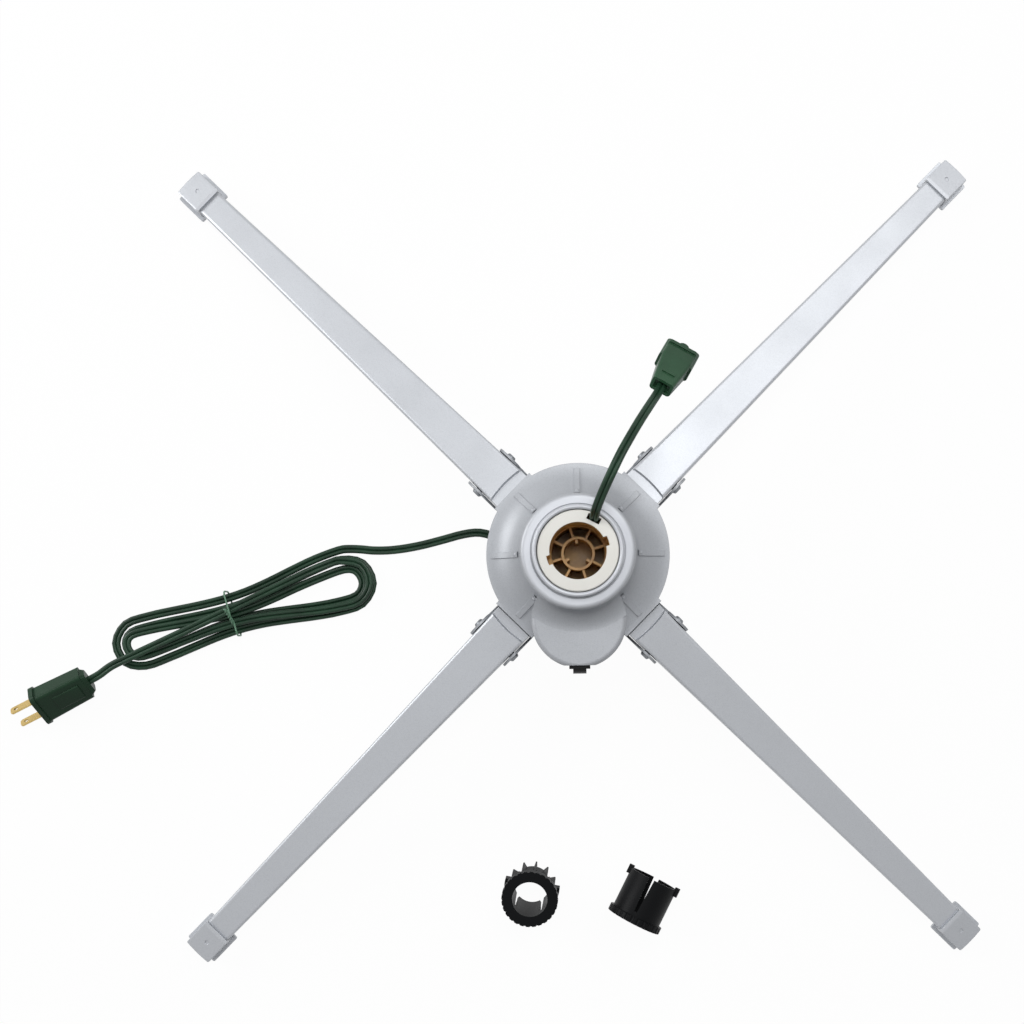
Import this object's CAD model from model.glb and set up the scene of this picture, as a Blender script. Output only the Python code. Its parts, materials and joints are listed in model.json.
"""Rotating stand for a small artificial tree, dressed over its fixed frame."""

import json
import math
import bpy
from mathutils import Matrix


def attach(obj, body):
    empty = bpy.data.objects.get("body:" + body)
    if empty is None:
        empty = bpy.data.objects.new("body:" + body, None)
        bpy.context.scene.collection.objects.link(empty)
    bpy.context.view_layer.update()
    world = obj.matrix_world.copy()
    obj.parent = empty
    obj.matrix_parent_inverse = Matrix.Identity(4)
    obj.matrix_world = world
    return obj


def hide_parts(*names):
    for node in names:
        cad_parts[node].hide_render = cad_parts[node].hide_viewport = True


bl_info = {
    "name": "Rotating Tree Stand",
    "version": (1, 0, 0),
    "blender": (4, 5, 0),
    "location": "View3D > Sidebar > Tree Stand",
    "description": "Dresses the rotating tree stand: painted legs, moulded hub, cords and stage",
    "category": "Object",
}

import bmesh
import bpy
from bpy.props import FloatProperty, PointerProperty, StringProperty
from mathutils import Matrix, Vector

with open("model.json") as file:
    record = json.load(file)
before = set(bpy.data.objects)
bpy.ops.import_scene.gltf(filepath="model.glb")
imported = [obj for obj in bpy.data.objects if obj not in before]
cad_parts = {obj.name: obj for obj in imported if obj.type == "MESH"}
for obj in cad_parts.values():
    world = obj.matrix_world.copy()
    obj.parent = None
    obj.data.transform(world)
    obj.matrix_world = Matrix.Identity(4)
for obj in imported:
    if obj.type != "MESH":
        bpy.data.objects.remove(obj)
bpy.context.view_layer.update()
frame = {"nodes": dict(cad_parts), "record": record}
MM = 0.001
IMAGE_PX = 1024
CORD_GREEN, CORD_SHADE = "#1B3826", "#152D1E"
TIE_GREEN, TIE_SHADE = "#5F8A6E", "#4A7359"
# The collar's flat top is lighter from this height on, over a short fade, in millimetres
CROWN_FROM, CROWN_FADE = 131.6, 0.4


# Small helpers
def linear(hex_colour, alpha=1.0):
    """An sRGB hex value as a linear colour."""
    parts = [int(hex_colour[i:i + 2], 16) / 255 for i in (1, 3, 5)]
    turned = [c / 12.92 if c <= 0.04045 else ((c + 0.055) / 1.055) ** 2.4 for c in parts]
    return (*turned, alpha)


def add(tree, kind, settings=None, links=None, stops=None):
    """Adds one shader node, with its settings, the sockets that feed it and a ramp's stops."""
    node = tree.nodes.new(kind)
    for key, value in (settings or {}).items():
        if isinstance(key, str) and hasattr(node, key):
            setattr(node, key, value)
        else:
            node.inputs[key].default_value = value
    for key, socket in (links or {}).items():
        tree.links.new(socket, node.inputs[key])
    if stops:
        elements = node.color_ramp.elements
        elements.remove(elements[-1])
        elements[0].position, elements[0].color = stops[0]
        for place, colour in stops[1:]:
            elements.new(place).color = colour
    return node


def new_material(name):
    """An empty material with its output node."""
    material = bpy.data.materials.new(name)
    material.use_nodes = True
    tree = material.node_tree
    tree.nodes.clear()
    return material, tree, add(tree, "ShaderNodeOutputMaterial")


def finished(name, bm, smooth=False, sharp_degrees=35.0):
    """Turns a bmesh into an object at the origin."""
    mesh = bpy.data.meshes.new(name)
    bm.to_mesh(mesh)
    bm.free()
    if smooth:
        for polygon in mesh.polygons:
            polygon.use_smooth = True
        mesh.set_sharp_from_angle(angle=math.radians(sharp_degrees))
    piece = bpy.data.objects.new(name, mesh)
    bpy.context.scene.collection.objects.link(piece)
    return piece


def moulded(name, colour, darker, roughness, grain_mm, grain_depth, edge_mm=0.35,
            metallic=0.0, specular=0.5, coat=0.0, patch_mm=40.0, rough_spread=0.06):
    """A moulded or painted surface: two close tones in soft patches, fine grain, eased edges."""
    material, tree, out = new_material(name)
    place = add(tree, "ShaderNodeTexCoord").outputs["Object"]
    patches = add(tree, "ShaderNodeTexNoise", {"Scale": 1000 / patch_mm, "Detail": 3.0},
                  {"Vector": place}).outputs["Fac"]
    tone = add(tree, "ShaderNodeValToRGB", None, {"Fac": patches},
               [(0.36, linear(darker)), (0.62, linear(colour))]).outputs["Color"]
    # a mould's grain is about 0.1 mm wide: it is drawn several times coarser so that it shows
    grain = add(tree, "ShaderNodeTexNoise", {"Scale": 1000 / grain_mm, "Detail": 2.0},
                {"Vector": place}).outputs["Fac"]
    rough = add(tree, "ShaderNodeMapRange",
                {"From Min": 0.3, "From Max": 0.7, "To Min": max(0.02, roughness - rough_spread),
                 "To Max": min(1.0, roughness + rough_spread)}, {"Value": patches}).outputs[0]
    eased = add(tree, "ShaderNodeBevel", {"samples": 4, "Radius": edge_mm * MM}).outputs["Normal"]
    bump = add(tree, "ShaderNodeBump", {"Strength": 1.0, "Distance": grain_depth * MM},
               {"Height": grain, "Normal": eased}).outputs["Normal"]
    shader = add(tree, "ShaderNodeBsdfPrincipled",
                 {"Metallic": metallic, "Specular IOR Level": specular, "Coat Weight": coat,
                  "Coat Roughness": 0.15},
                 {"Base Color": tone, "Roughness": rough, "Normal": bump})
    tree.links.new(shader.outputs[0], out.inputs["Surface"])
    return material


def metal_flake(name, colour, darker, roughness, flake_mm, flake_share, edge_mm=0.5,
                metallic=0.55, crown=None, cloud_mm=45.5, peel_mm=1.11, peel_depth=0.02):
    """Aluminium flake under a clear binder, with a lighter crown above a height if one is set."""
    material, tree, out = new_material(name)
    place = add(tree, "ShaderNodeTexCoord").outputs["Object"]
    # real flakes are about 0.04 mm across: they are drawn ten times coarser so that they show
    cells = add(tree, "ShaderNodeTexVoronoi", {"feature": "F1", "Scale": 1000 / flake_mm},
                {"Vector": place})
    bright = add(tree, "ShaderNodeSeparateColor", None,
                 {"Color": cells.outputs["Color"]}).outputs[0]
    tone = add(tree, "ShaderNodeValToRGB", None, {"Fac": bright},
               [(0.0, linear(darker)), (flake_share, linear(colour)),
                (1.0, linear(colour))]).outputs["Color"]
    if crown:
        height = add(tree, "ShaderNodeSeparateXYZ", None, {"Vector": place}).outputs["Z"]
        share = add(tree, "ShaderNodeMapRange",
                    {"From Min": (crown[0] - CROWN_FADE) * MM,
                     "From Max": (crown[0] + CROWN_FADE) * MM},
                    {"Value": height}).outputs[0]
        tone = add(tree, "ShaderNodeMix", {"data_type": "RGBA", 7: linear(crown[1])},
                   {0: share, 6: tone}).outputs[2]
    clouds = add(tree, "ShaderNodeTexNoise", {"Scale": 1000 / cloud_mm, "Detail": 4.0},
                 {"Vector": place}).outputs["Fac"]
    rough = add(tree, "ShaderNodeMapRange",
                {"From Min": 0.3, "From Max": 0.7, "To Min": roughness - 0.05,
                 "To Max": roughness + 0.06}, {"Value": clouds}).outputs[0]
    peel = add(tree, "ShaderNodeTexNoise", {"Scale": 1000 / peel_mm, "Detail": 1.0},
               {"Vector": place}).outputs["Fac"]
    eased = add(tree, "ShaderNodeBevel", {"samples": 4, "Radius": edge_mm * MM}).outputs["Normal"]
    bump = add(tree, "ShaderNodeBump", {"Strength": 0.6, "Distance": peel_depth * MM},
               {"Height": peel, "Normal": eased}).outputs["Normal"]
    shader = add(tree, "ShaderNodeBsdfPrincipled", {"Metallic": metallic, "Coat Weight": 0.12,
                                                    "Coat Roughness": 0.25},
                 {"Base Color": tone, "Roughness": rough, "Normal": bump})
    tree.links.new(shader.outputs[0], out.inputs["Surface"])
    return material


def polished(name, colour, darker, roughness, scratch_mm, edge_mm=0.2):
    """Bare metal with short fine scratches."""
    material, tree, out = new_material(name)
    place = add(tree, "ShaderNodeTexCoord").outputs["Object"]
    stretched = add(tree, "ShaderNodeMapping", {"Scale": (1.0, 6.0, 1.0)},
                    {"Vector": place}).outputs[0]
    # drawing lines are finer than a pixel of any view: they are drawn coarser so that they show
    lines = add(tree, "ShaderNodeTexNoise", {"Scale": 1000 / scratch_mm, "Detail": 3.0},
                {"Vector": stretched}).outputs["Fac"]
    tone = add(tree, "ShaderNodeValToRGB", None, {"Fac": lines},
               [(0.3, linear(darker)), (0.65, linear(colour))]).outputs["Color"]
    rough = add(tree, "ShaderNodeMapRange",
                {"From Min": 0.25, "From Max": 0.75, "To Min": roughness,
                 "To Max": roughness + 0.14}, {"Value": lines}).outputs[0]
    eased = add(tree, "ShaderNodeBevel", {"samples": 4, "Radius": edge_mm * MM}).outputs["Normal"]
    shader = add(tree, "ShaderNodeBsdfPrincipled", {"Metallic": 1.0},
                 {"Base Color": tone, "Roughness": rough, "Normal": eased})
    tree.links.new(shader.outputs[0], out.inputs["Surface"])
    return material


# Settings
class StandCordSettings(bpy.types.PropertyGroup):
    """Sizes of the flat twin cord."""

    width: FloatProperty(name="Cord width", description="Width of the flat twin cord",
                         default=6.1 * MM, unit="LENGTH")
    thickness: FloatProperty(name="Cord thickness", description="Thickness over one conductor",
                             default=3.1 * MM, unit="LENGTH")
    web: FloatProperty(name="Web thickness", description="Thickness between the conductors",
                       default=0.9 * MM, unit="LENGTH")
    colour: StringProperty(name="Cord colour", description="Hex colour of the vinyl",
                           default=CORD_GREEN)
    tie_radius: FloatProperty(name="Tie radius", description="Radius of the coated tie wire",
                              default=0.62 * MM, unit="LENGTH")


class StandFinishSettings(bpy.types.PropertyGroup):
    """Colours of the moulded and sprayed finishes, as hex values."""

    cover: StringProperty(name="Hub colour", description="Hex colour of the moulded hub cover",
                          default="#ABAEB3")
    legs: StringProperty(name="Leg colour", description="Hex colour of the sprayed steel legs",
                         default="#BBBEC3")
    disc: StringProperty(name="Disc colour", description="Hex colour of the turning disc",
                         default="#E6E5DF")
    socket: StringProperty(name="Socket colour", description="Hex colour of the pole socket",
                           default="#D8B272")
    plug: StringProperty(name="Plug colour", description="Hex colour of the plug's body",
                         default="#193723")
    connector: StringProperty(name="Outlet colour",
                              description="Hex colour of the outlet connector",
                              default="#294F35")
    adapters: StringProperty(name="Adapter colour", description="Hex colour of the pole adapters",
                             default="#0A0B0D")


class StandStageSettings(bpy.types.PropertyGroup):
    """Camera and light."""

    eye_height: FloatProperty(name="Camera height", description="Height of the eye over the floor",
                              default=1.0, unit="LENGTH")
    floor_scale: FloatProperty(name="Floor scale", description="Millimetres at the floor for one "
                               "pixel of the frame", default=0.72)
    key_power: FloatProperty(name="Key light",
                             description="Power of the large lamp at the upper right",
                             default=8.0, unit="POWER")
    top_power: FloatProperty(name="Top light", description="Power of the small lamp above the hub",
                             default=4.5, unit="POWER")
    side_power: FloatProperty(name="Side light", description="Power of the low lamp at the left",
                              default=16.0, unit="POWER")
    world_level: FloatProperty(name="World light", description="Strength of the pale surroundings",
                               default=0.11)


# Cords
def turned(point, degrees):
    """A flat point turned about the origin."""
    c, s = math.cos(math.radians(degrees)), math.sin(math.radians(degrees))
    return point[0] * c - point[1] * s, point[0] * s + point[1] * c


def spline(places, steps):
    """Points of a smooth curve through the given places."""
    places = [Vector(p) for p in places]
    last = len(places) - 1
    points = []
    for i in range(last):
        a, b = places[max(i - 1, 0)], places[i]
        c, d = places[i + 1], places[min(i + 2, last)]
        for j in range(steps):
            u = j / steps
            points.append(0.5 * (2 * b + (c - a) * u + (2 * a - 5 * b + 4 * c - d) * u * u
                                 + (3 * b - a - 3 * c + d) * u ** 3))
    return points + [places[-1]]


def smooth_step(x):
    """An ease from 0 to 1."""
    x = min(1.0, max(0.0, x))
    return x * x * (3 - 2 * x)


# The route's sizes in millimetres, as in the part's source
CORD_H = 3.2
EXIT_AT = (-38.0, 3.0)
RELIEF_END = 30.0
CORD_ROUTE = [(-38, 3, 26.6), (-40.7, 5, 14.1), (-48, 10.5, 5), (-58, 17.2, 1.7), (-70, 21, 1.6),
              (-82, 20.1, 1.6), (-96, 16.6, 1.6), (-110.7, 13, 1.6), (-124, 10.6, 1.6),
              (-136, 9.4, 1.6)]
HANK_AT, HANK_AZ = (-246.9, -36.0), 15.4
HANK_A, HANK_PITCH = 24.4, 7.1
HANK_RIGHT, HANK_LEFT = 84.2, 71.5
HANK_DRAW, HANK_LEFT_DRAW = 9.35, 4.5
HANK_LAYER, HANK_TURNS, HANK_REVERSE = 4.0, 3, 2.04
CLIMB_FROM, CLIMB_TURNS = 2.0, 0.075
LOOP_RINGS, TIE_LIFT, TIE_REACH, RUN_SHARE = 24, 1.7, 60.0, 0.36
HANK_LEAD_IN = [(108, 17.4, 0), (101, 20.2, 0), (92, 23.2, 0)]
HANK_LAST = [(78, 17.1, 1), (69, 16.2, 1.35), (60, 14.9, 1.8), (50, 13.2, 2), (36, 10.8, 2),
             (18, 7.8, 2), (0, 4.8, 2), (-18, 1.9, 2), (-36, -1, 2), (-54, -3.8, 2),
             (-72, -6.6, 2), (-88.6, -9.2, 2)]
TAIL_ROUTE = [(-336.1, -71.9, 9.8), (-342.4, -76.6, 10.4)]
PLUG_REAR = (-348.8, -80.2, 11.2)
LEAD_BASE = (10.15, 19.75, 118.05)
LEAD_ROUTE = [(10.15, 19.75, 127), (10.2, 19.85, 133.5), (10.4, 20.7, 140.5), (11.5, 24.5, 149.3),
              (14.2, 31, 157), (17.6, 38.2, 162.5), (21.8, 46.8, 165), (26.8, 56.8, 163.6),
              (32.6, 67.2, 158), (39, 78.3, 149), (45.5, 88.9, 138.2)]
TIE_W, TIE_H, TIE_SHIFT, TIE_CORNER = 33.0, 13.4, 1.7, 3.4
TIE_FLOOR_GAP, TIE_FOOT_Y, TIE_FOOT_GAP, TIE_FOOT_SHARE = 0.1, -6.3, 0.6, 0.6
TIE_TWIST_L, TIE_TWIST_LEAN, TIE_TWISTS = 15.0, 38.0, 2.5
TIE_TWIST_STEPS, TIE_CORNER_STEPS, TIE_SIDES = 26, 7, 10
EXIT_SIDE = Vector((-0.35, -0.94, 0))
CONN_REAR, CONN_AZ, CONN_PITCH = (54.5, 104.0, 120.5), 60.5, 36.0
LEAD_END, MOUTH_D = 7.0, 2.4
SLOT_AZ = 62.8
# Points of a line for each place of its route, and sides of a cord's outline
CORD_STEPS, LEAD_STEPS, TIE_STEPS = 3, 4, 2
CORD_SIDES = 32
# A line is taken as upright where its level side is shorter than this
UPRIGHT_SIDE = 0.5


def draw_in(s):
    """How far the hank's strands are drawn towards its middle line by the tie."""
    if s > 0:
        return HANK_DRAW * (1 + math.cos(math.pi * min(1, s / HANK_RIGHT))) / 2
    return HANK_LEFT_DRAW + (HANK_DRAW - HANK_LEFT_DRAW) * (
        1 + math.cos(math.pi * min(1, -s / HANK_LEFT))) / 2


def lift(s):
    """How far the tie under the hank lifts its strands."""
    if abs(s) >= TIE_REACH:
        return 0.0
    return TIE_LIFT * math.cos(math.radians(90 * s / TIE_REACH)) ** 2


def hank_local(u):
    """Place along and across the hank, and layer, after u turns."""
    f = u - math.floor(u)
    a = HANK_A - HANK_PITCH * (u if u < HANK_REVERSE else 2 * HANK_REVERSE - u)
    z = smooth_step((u - CLIMB_FROM) / CLIMB_TURNS)
    al = a - HANK_LEFT_DRAW
    span = HANK_RIGHT + HANK_LEFT
    if f < RUN_SHARE:
        s = HANK_RIGHT - span * f / RUN_SHARE
        return s, a - draw_in(s), z
    if f < 0.5:
        t = math.pi * (f - RUN_SHARE) / (0.5 - RUN_SHARE)
        return -HANK_LEFT - al * math.sin(t), al * math.cos(t), z
    if f < 0.5 + RUN_SHARE:
        s = -HANK_LEFT + span * (f - 0.5) / RUN_SHARE
        return s, -(a - draw_in(s)), z
    t = math.pi * (f - 0.5 - RUN_SHARE) / (0.5 - RUN_SHARE)
    return HANK_RIGHT + a * math.sin(t), -a * math.cos(t), z


def hank_place(q):
    """A place of the hank in the frame, in millimetres."""
    x, y = turned((q[0], q[1]), HANK_AZ)
    return HANK_AT[0] + x, HANK_AT[1] + y, CORD_H / 2 + q[2] * HANK_LAYER + lift(q[0])


def power_route():
    """The power cord's whole line, from the strain relief to the plug."""
    hank = [hank_place(q) for q in HANK_LEAD_IN]
    hank += [hank_place(hank_local(i / LOOP_RINGS)) for i in range(LOOP_RINGS * HANK_TURNS + 1)]
    hank += [hank_place(q) for q in HANK_LAST]
    first = [(EXIT_AT[0], EXIT_AT[1], RELIEF_END)] + CORD_ROUTE
    return [p * MM for p in spline(first + hank + TAIL_ROUTE + [PLUG_REAR], CORD_STEPS)]


def lead_route():
    """The outlet lead's line, from the socket wall to its connector."""
    az, pitch = math.radians(CONN_AZ), math.radians(CONN_PITCH)
    along = Vector((math.cos(az) * math.cos(pitch), math.sin(az) * math.cos(pitch),
                    -math.sin(pitch)))
    rear = Vector(CONN_REAR)
    places = [LEAD_BASE] + LEAD_ROUTE + [rear - along * LEAD_END, rear + along * MOUTH_D]
    return [p * MM for p in spline(places, LEAD_STEPS)]


def tie_route(settings):
    """The tie's wire: down one strand of its twist, round the hank and up the other strand."""
    wide, tall = TIE_W / 2, TIE_H / 2
    wire = settings.tie_radius / MM
    low = wire + TIE_FLOOR_GAP
    turn = math.radians(TIE_TWIST_LEAN)
    foot = Vector((0, TIE_FOOT_Y, low + TIE_H + wire * TIE_FOOT_SHARE))
    axis = Vector((0, math.sin(turn), math.cos(turn)))
    side = Vector((1, 0, 0))
    up = axis.cross(side)

    def strand(phase):
        """One strand of the twist, from its foot to its tip."""
        for i in range(1, TIE_TWIST_STEPS + 1):
            share = i / TIE_TWIST_STEPS
            angle = phase + math.tau * TIE_TWISTS * share
            yield (foot + axis * (TIE_TWIST_L * share)
                   + (side * math.cos(angle) + up * math.sin(angle)) * wire)

    ring = [(TIE_FOOT_Y - TIE_FOOT_GAP, low + TIE_H)]
    for sx, sz, start in ((-1, 1, 90), (-1, -1, 180), (1, -1, 270), (1, 1, 0)):
        for i in range(TIE_CORNER_STEPS + 1):
            angle = math.radians(start + 90 * i / TIE_CORNER_STEPS)
            ring.append((sx * (wide - TIE_CORNER) + TIE_CORNER * math.cos(angle),
                         low + tall + sz * (tall - TIE_CORNER) + TIE_CORNER * math.sin(angle)))
    ring.append((TIE_FOOT_Y + TIE_FOOT_GAP, low + TIE_H))
    # the two ends of the turn pass each other by one wire's radius to each side
    round_it = [Vector((wire - 2 * wire * i / (len(ring) - 1), y, z))
                for i, (y, z) in enumerate(ring)]
    places = list(strand(0.0))[::-1] + round_it + list(strand(math.pi))
    placed = []
    for q in places:
        x, y = turned((q.x, q.y + TIE_SHIFT), HANK_AZ)
        placed.append((HANK_AT[0] + x, HANK_AT[1] + y, q.z))
    return [p * MM for p in spline(placed, TIE_STEPS)]


def twin_outline(vertex, width, thickness, web):
    """Moves a point of a unit circle on to the outline of two conductors joined by a web."""
    angle = math.atan2(vertex.y, vertex.x)
    round_r = thickness / 2
    centre = width / 2 - round_r
    c, s = abs(math.cos(angle)), math.sin(angle)
    inside = round_r ** 2 - (centre * s) ** 2
    reach = centre * c + math.sqrt(max(inside, 0.0)) if inside > 0 else 0.0
    flat = web / 2 / max(abs(s), 1e-6)
    reach = max(reach, min(flat, width / 2))
    return Vector((reach * math.cos(angle), reach * s, 0.0))


def swept(name, line, outline, hint=None, sides=CORD_SIDES):
    """A cord or wire: one outline, extruded from place to place along its line."""
    bm = bmesh.new()
    ring = bmesh.ops.create_circle(bm, cap_ends=False, segments=sides, radius=1.0)["verts"]
    for v in ring:
        v.co = outline(v.co)

    def stand(i):
        """The matrix of the outline's place at one point of the line."""
        along = (line[min(i + 1, len(line) - 1)] - line[max(i - 1, 0)]).normalized()
        if hint is None:
            side = Vector((0, 0, 1)).cross(along)
            if side.length < UPRIGHT_SIDE:
                side = EXIT_SIDE - along * along.dot(EXIT_SIDE)
        else:
            side = hint - along * along.dot(hint)
        side.normalize()
        up = along.cross(side)
        turn = Matrix((side, up, along)).transposed().to_4x4()
        return Matrix.Translation(line[i]) @ turn

    here = stand(0)
    bmesh.ops.transform(bm, matrix=here, verts=bm.verts)
    edges = list(bm.edges)
    bmesh.ops.edgeloop_fill(bm, edges=edges)
    for i in range(1, len(line)):
        grown = bmesh.ops.extrude_edge_only(bm, edges=edges)["geom"]
        verts = [g for g in grown if isinstance(g, bmesh.types.BMVert)]
        edges = [g for g in grown if isinstance(g, bmesh.types.BMEdge)]
        there = stand(i)
        bmesh.ops.transform(bm, matrix=there @ here.inverted(), verts=verts)
        here = there
    bmesh.ops.edgeloop_fill(bm, edges=edges)
    bmesh.ops.recalc_face_normals(bm, faces=bm.faces)
    return finished(name, bm, smooth=True)


def swept_cord(name, line, settings, hint=None):
    """The flat twin cord along a line."""
    return swept(name, line, lambda co: twin_outline(co, settings.width, settings.thickness,
                                                     settings.web), hint)


def vinyl(name, colour, darker):
    """Soft PVC as extruded: a low sheen that breaks along the run, hardly any grain."""
    return moulded(name, colour, darker, 0.38, 1.2, 0.02, edge_mm=0.2, specular=0.28,
                   patch_mm=14.0, rough_spread=0.08)


class STAND_OT_wire_tie(bpy.types.Operator):
    """Binds the hank with a coated wire tie, twisted on top"""

    bl_idname = "stand.wire_tie"
    bl_label = "Wire tie"

    def execute(self, context):
        settings = context.scene.stand_cord
        across = Vector((*turned((1.0, 0.0), HANK_AZ), 0.0))
        tie = swept("wire_tie_green", tie_route(settings),
                    lambda co: co * settings.tie_radius, across, sides=TIE_SIDES)
        # steel wire in a thin PVC skin: brighter than the cord, with a soft sheen
        tie.data.materials.append(moulded("coated_tie_wire", TIE_GREEN, TIE_SHADE, 0.36, 0.8,
                                          0.02, edge_mm=0.1))
        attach(tie, "base")
        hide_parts("twist_tie")
        return {"FINISHED"}


class STAND_OT_power_cord(bpy.types.Operator):
    """Lays the power cord from the hub through its hank to the plug"""

    bl_idname = "stand.power_cord"
    bl_label = "Power cord"

    def execute(self, context):
        settings = context.scene.stand_cord
        line = power_route()
        cord = swept_cord("power_cord_green", line, settings)
        cord.data.materials.append(vinyl("extruded_vinyl_cord", settings.colour, CORD_SHADE))
        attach(cord, "base")
        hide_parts("power_cord", "cord_hank", "cord_tail")
        return {"FINISHED"}


class STAND_OT_outlet_lead(bpy.types.Operator):
    """Arches the outlet lead from the turning disc to its connector"""

    bl_idname = "stand.outlet_lead"
    bl_label = "Outlet lead"

    def execute(self, context):
        settings = context.scene.stand_cord
        line = lead_route()
        side = math.radians(SLOT_AZ)
        lead = swept_cord("outlet_lead_green", line, settings,
                          hint=Vector((-math.sin(side), math.cos(side), 0)))
        lead.data.materials.append(vinyl("extruded_vinyl_lead", settings.colour, CORD_SHADE))
        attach(lead, "rotor")
        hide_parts("outlet_lead")
        return {"FINISHED"}


# Finishes
def finishes(colours):
    """One material for each finish of the solids, named for what it is."""
    return {
        # injection-moulded ABS with fine aluminium flake: satin grey, broad soft highlights
        "cover_grey": metal_flake("moulded_abs_silver_grey", colours.cover, "#A0A3A8", 0.44,
                                  0.35, 0.5, metallic=0.2, crown=(CROWN_FROM, "#C2C5CB")),
        # pressed steel sheet sprayed with silver enamel: brighter, it mirrors the lamps softly
        "leg_steel": metal_flake("sprayed_steel_silver", colours.legs, "#B0B3B8", 0.40, 0.3,
                                 0.5, metallic=0.5),
        # moulded polyethylene caps, mixed with silver: even pale grey with a wide sheen
        "cap_grey": metal_flake("moulded_pe_silver_grey", "#BBBEC3", "#B4B7BC", 0.44, 0.5, 0.5,
                                metallic=0.4),
        # glossy moulded ABS disc: warm white that keeps a clear highlight
        "disc_ivory": moulded("moulded_abs_ivory", colours.disc, "#DFDDD5", 0.33, 1.0, 0.01,
                              coat=0.1),
        # greased glass-filled nylon: tan with darker clouds, a half-dull surface
        "socket_tan": moulded("moulded_nylon_tan", colours.socket, "#B68D50", 0.42, 0.8, 0.04,
                              patch_mm=9.0),
        # machined acetal wheel: slightly translucent white, smooth to the eye
        "gear_white": moulded("machined_acetal_white", "#E2DFD6", "#D8D4C8", 0.4, 1.0, 0.02),
        # moulded ABS of the switch: black with a fine spark-eroded grain
        "black_plastic": moulded("moulded_abs_black", "#0E1012", "#0B0C0E", 0.44, 0.7, 0.03,
                                 specular=0.12),
        # polished ABS rocker: deep black with a sharper highlight
        "black_gloss": moulded("glossy_abs_black", "#0C0E10", "#090A0C", 0.26, 0.9, 0.01,
                               specular=0.15),
        # moulded polypropylene adapters: near black, satin
        "adapter_black": moulded("moulded_pp_black", colours.adapters, "#07080A", 0.42, 0.6, 0.04,
                                 specular=0.09),
        # soft rubber strain relief: dull black
        "black_rubber": moulded("soft_rubber_black", "#1C1E1F", "#151717", 0.6, 0.8, 0.04),
        # extruded PVC of the cords' solids, which the swept cords replace
        "cord_green": vinyl("extruded_vinyl_solid", CORD_GREEN, CORD_SHADE),
        # moulded PVC of plug and connector: deep green with a soft gleam on its edges
        "plug_green": moulded("moulded_vinyl_dark_green", colours.plug, "#142D1C", 0.36, 0.8, 0.03,
                              edge_mm=0.4, specular=0.18),
        # coated tie wire, hidden under its wound form
        "tie_green": moulded("coated_wire_green", TIE_GREEN, TIE_SHADE, 0.4, 0.8, 0.02),
        # black-enamelled base sheet: smooth, half glossy
        "plate_dark": moulded("enamelled_steel_black", "#2C2F33", "#25282B", 0.45, 1.0, 0.02),
        # zinc-plated brackets, sprayed over: a dull grey film with a trace of the metal
        "bracket_steel": metal_flake("sprayed_zinc_grey", "#A2A5A9", "#96999E", 0.5, 0.5, 0.5,
                                     edge_mm=0.2, metallic=0.3),
        # turned rivets: bare, duller on their peened heads
        "pin_steel": polished("peened_rivet_steel", "#85888C", "#74777B", 0.42, 1.5),
        # stamped brass: pale gold with short drawing lines
        "contact_brass": polished("stamped_brass", "#C6AE74", "#BEA467", 0.34, 1.6),
        # deep-drawn aluminium can of the motor
        "motor_can": polished("drawn_aluminium_can", "#B9BBBE", "#A6A8AB", 0.32, 2.0),
    }


class STAND_OT_finishes(bpy.types.Operator):
    """Gives each solid of the stand its material"""

    bl_idname = "stand.finishes"
    bl_label = "Finishes"

    def execute(self, context):
        colours = context.scene.stand_finish
        by_slot = finishes(colours)
        slots = {row["node"]: row["material_slot"] for row in frame["record"]["subparts"]}
        for name, solid in frame["nodes"].items():
            material = by_slot[slots[name]]
            if not solid.material_slots:
                solid.data.materials.append(material)
            for slot in solid.material_slots:
                slot.material = material
        # the connector's PVC is a lighter batch of green than the plug's
        connector = frame["nodes"]["outlet_connector"]
        for slot in connector.material_slots:
            slot.material = moulded("moulded_vinyl_mid_green", colours.connector, "#21432C", 0.34,
                                    0.8, 0.03, edge_mm=0.3, specular=0.3)
        return {"FINISHED"}


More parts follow.
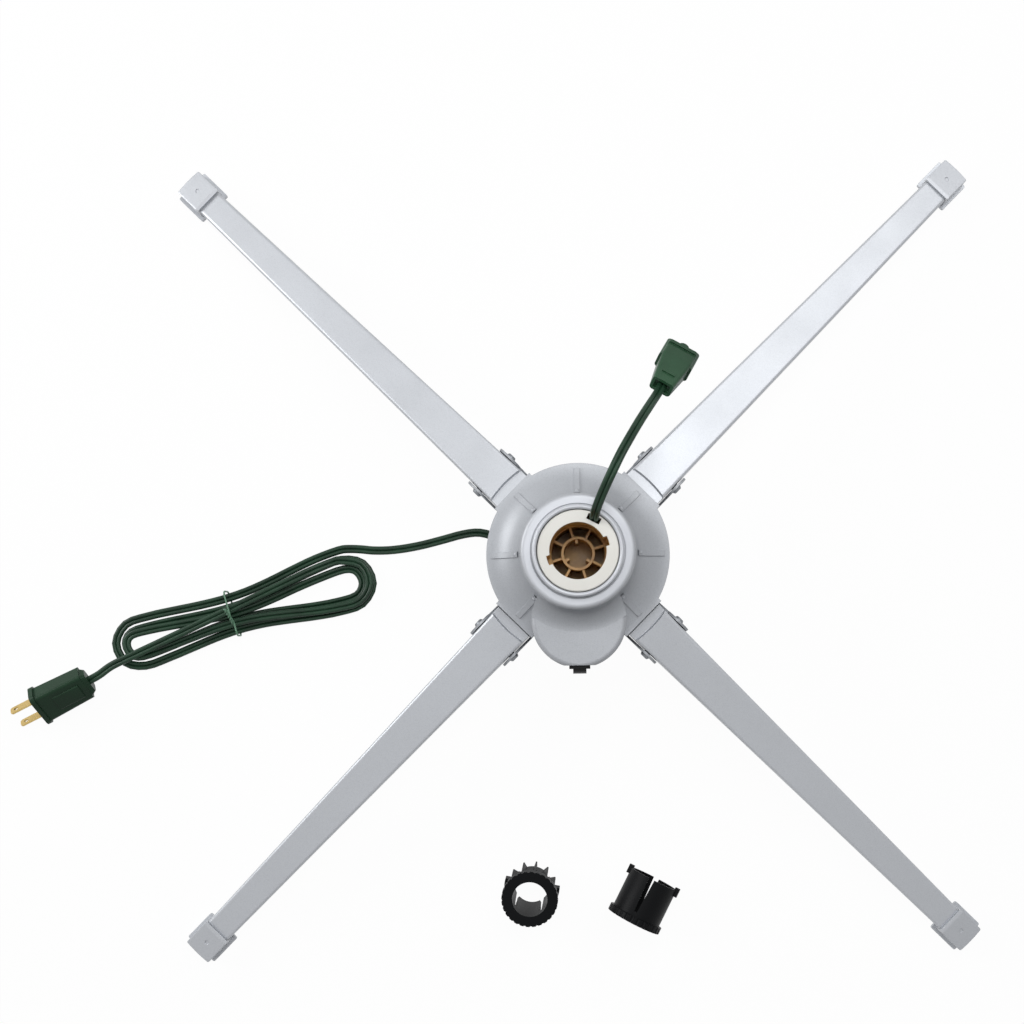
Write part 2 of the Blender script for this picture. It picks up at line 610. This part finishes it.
# Stage
class STAND_OT_stage(bpy.types.Operator):
    """Sets the camera over the stand, the pale floor and the soft lamps"""

    bl_idname = "stand.stage"
    bl_label = "Stage"

    # where the photograph's frame holds the origin and the optical axis, in its pixels
    middle_px = IMAGE_PX / 2
    origin_px = (578.0, 560.5)
    axis_px = (578.0, 607.0)
    roll_degrees = 0.9
    tilt_degrees = 0.7
    view_reach = 20.0
    # places and widths of the lamps, and the point that they face, in metres
    lamps = (("key_lamp", (0.55, 0.85, 1.25), 1.1),
             ("top_lamp", (0.05, 0.3, 1.25), 0.5),
             ("side_lamp", (-1.5, 0.55, 0.8), 0.9))
    lamps_face = (0, 0, 0.05)
    # the floor's half width, its drop under the part, and how much of it the eye sees as white
    floor_half, floor_drop, white_share = 6.0, 0.3 * MM, 0.965

    def execute(self, context):
        settings = context.scene.stand_stage
        scale = settings.floor_scale * MM
        eye = settings.eye_height
        tilt = math.radians(self.tilt_degrees)
        down = (self.origin_px[1] - self.axis_px[1]) * scale
        camera = bpy.data.cameras.new("overhead")
        camera.lens = eye / scale / IMAGE_PX * camera.sensor_width
        camera.shift_x = (self.middle_px - self.axis_px[0]) / IMAGE_PX
        camera.shift_y = (self.axis_px[1] - self.middle_px) / IMAGE_PX
        camera.clip_end = self.view_reach
        seat = bpy.data.objects.new("overhead", camera)
        x, y = turned((0.0, down - eye * math.tan(tilt)), -self.roll_degrees)
        seat.location = (x, y, eye)
        seat.rotation_euler = (Matrix.Rotation(math.radians(-self.roll_degrees), 3, "Z")
                               @ Matrix.Rotation(tilt, 3, "X")).to_euler()
        context.scene.collection.objects.link(seat)
        context.scene.camera = seat

        powers = (settings.key_power, settings.top_power, settings.side_power)
        for (name, place, size), power in zip(self.lamps, powers):
            self.lamp(context, name, place, size, power)
        self.floor(context)
        self.surroundings(context, settings.world_level)
        context.scene.view_settings.view_transform = "Standard"
        return {"FINISHED"}

    def lamp(self, context, name, place, size, power):
        """A square lamp that faces the hub."""
        data = bpy.data.lights.new(name, "AREA")
        data.size, data.energy = size, power
        lamp = bpy.data.objects.new(name, data)
        lamp.location = place
        lamp.rotation_euler = (Vector(self.lamps_face) - lamp.location).to_track_quat(
            "-Z", "Y").to_euler()
        context.scene.collection.objects.link(lamp)

    @staticmethod
    def seen_or_mirrored(tree, rays):
        """1 for a ray from the camera, or one that a gloss or glass sends on."""
        direct = add(tree, "ShaderNodeMath", {"operation": "MAXIMUM"},
                     {0: rays.outputs["Is Camera Ray"], 1: rays.outputs["Is Glossy Ray"]})
        every = add(tree, "ShaderNodeMath", {"operation": "MAXIMUM"},
                    {0: direct.outputs[0], 1: rays.outputs["Is Transmission Ray"]})
        return every.outputs[0]

    def floor(self, context):
        """A wide pale floor that reads as white to the eye and keeps its shadow."""
        bm = bmesh.new()
        bmesh.ops.create_grid(bm, x_segments=1, y_segments=1, size=self.floor_half)
        bmesh.ops.translate(bm, vec=(0, 0, -self.floor_drop), verts=bm.verts)
        floor = finished("studio_floor", bm)
        material, tree, out = new_material("pale_paper")
        paper = add(tree, "ShaderNodeBsdfDiffuse", {"Color": linear("#FFFFFF")})
        glow = add(tree, "ShaderNodeEmission", {"Color": (1, 1, 1, 1), "Strength": 1.0})
        rays = add(tree, "ShaderNodeLightPath")
        share = add(tree, "ShaderNodeMath", {"operation": "MULTIPLY", 1: self.white_share},
                    {0: self.seen_or_mirrored(tree, rays)})
        mixed = add(tree, "ShaderNodeMixShader", None, {"Fac": share.outputs[0]})
        tree.links.new(paper.outputs[0], mixed.inputs[1])
        tree.links.new(glow.outputs[0], mixed.inputs[2])
        tree.links.new(mixed.outputs[0], out.inputs["Surface"])
        floor.data.materials.append(material)

    def surroundings(self, context, level):
        """Pale even surroundings, white where they are seen or mirrored."""
        world = bpy.data.worlds.new("studio")
        context.scene.world = world
        world.use_nodes = True
        tree = world.node_tree
        tree.nodes.clear()
        out = add(tree, "ShaderNodeOutputWorld")
        rays = add(tree, "ShaderNodeLightPath")
        soft = add(tree, "ShaderNodeBackground", {"Color": (1, 1, 1, 1), "Strength": level})
        white = add(tree, "ShaderNodeBackground", {"Color": (1, 1, 1, 1), "Strength": 1.0})
        mixed = add(tree, "ShaderNodeMixShader", None, {"Fac": self.seen_or_mirrored(tree, rays)})
        tree.links.new(soft.outputs[0], mixed.inputs[1])
        tree.links.new(white.outputs[0], mixed.inputs[2])
        tree.links.new(mixed.outputs[0], out.inputs["Surface"])


# Panel and main
class STAND_PT_panel(bpy.types.Panel):
    """Lists the stand's makers in the sidebar"""

    bl_idname = "STAND_PT_panel"
    bl_label = "Tree Stand"
    bl_space_type = "VIEW_3D"
    bl_region_type = "UI"
    bl_category = "Tree Stand"

    def draw(self, context):
        scene = context.scene
        for settings in (scene.stand_stage, scene.stand_cord, scene.stand_finish):
            for name in settings.__annotations__:
                self.layout.prop(settings, name)
        for maker in MAKERS:
            self.layout.operator(maker.bl_idname)


SETTINGS = (StandCordSettings, StandFinishSettings, StandStageSettings)
MAKERS = (STAND_OT_stage, STAND_OT_wire_tie, STAND_OT_power_cord, STAND_OT_outlet_lead,
          STAND_OT_finishes)


def register():
    """Registers the settings, the makers and the panel."""
    for item in (*SETTINGS, *MAKERS, STAND_PT_panel):
        bpy.utils.register_class(item)
    bpy.types.Scene.stand_cord = PointerProperty(type=StandCordSettings)
    bpy.types.Scene.stand_finish = PointerProperty(type=StandFinishSettings)
    bpy.types.Scene.stand_stage = PointerProperty(type=StandStageSettings)


def unregister():
    """Takes the settings, the makers and the panel away again."""
    del bpy.types.Scene.stand_stage
    del bpy.types.Scene.stand_finish
    del bpy.types.Scene.stand_cord
    for item in reversed((*SETTINGS, *MAKERS, STAND_PT_panel)):
        bpy.utils.unregister_class(item)


def main():
    """Makes the stage and every piece."""
    register()
    bpy.ops.stand.stage()
    bpy.ops.stand.wire_tie()
    bpy.ops.stand.power_cord()
    bpy.ops.stand.outlet_lead()
    bpy.ops.stand.finishes()


if __name__ == "__main__":
    main()
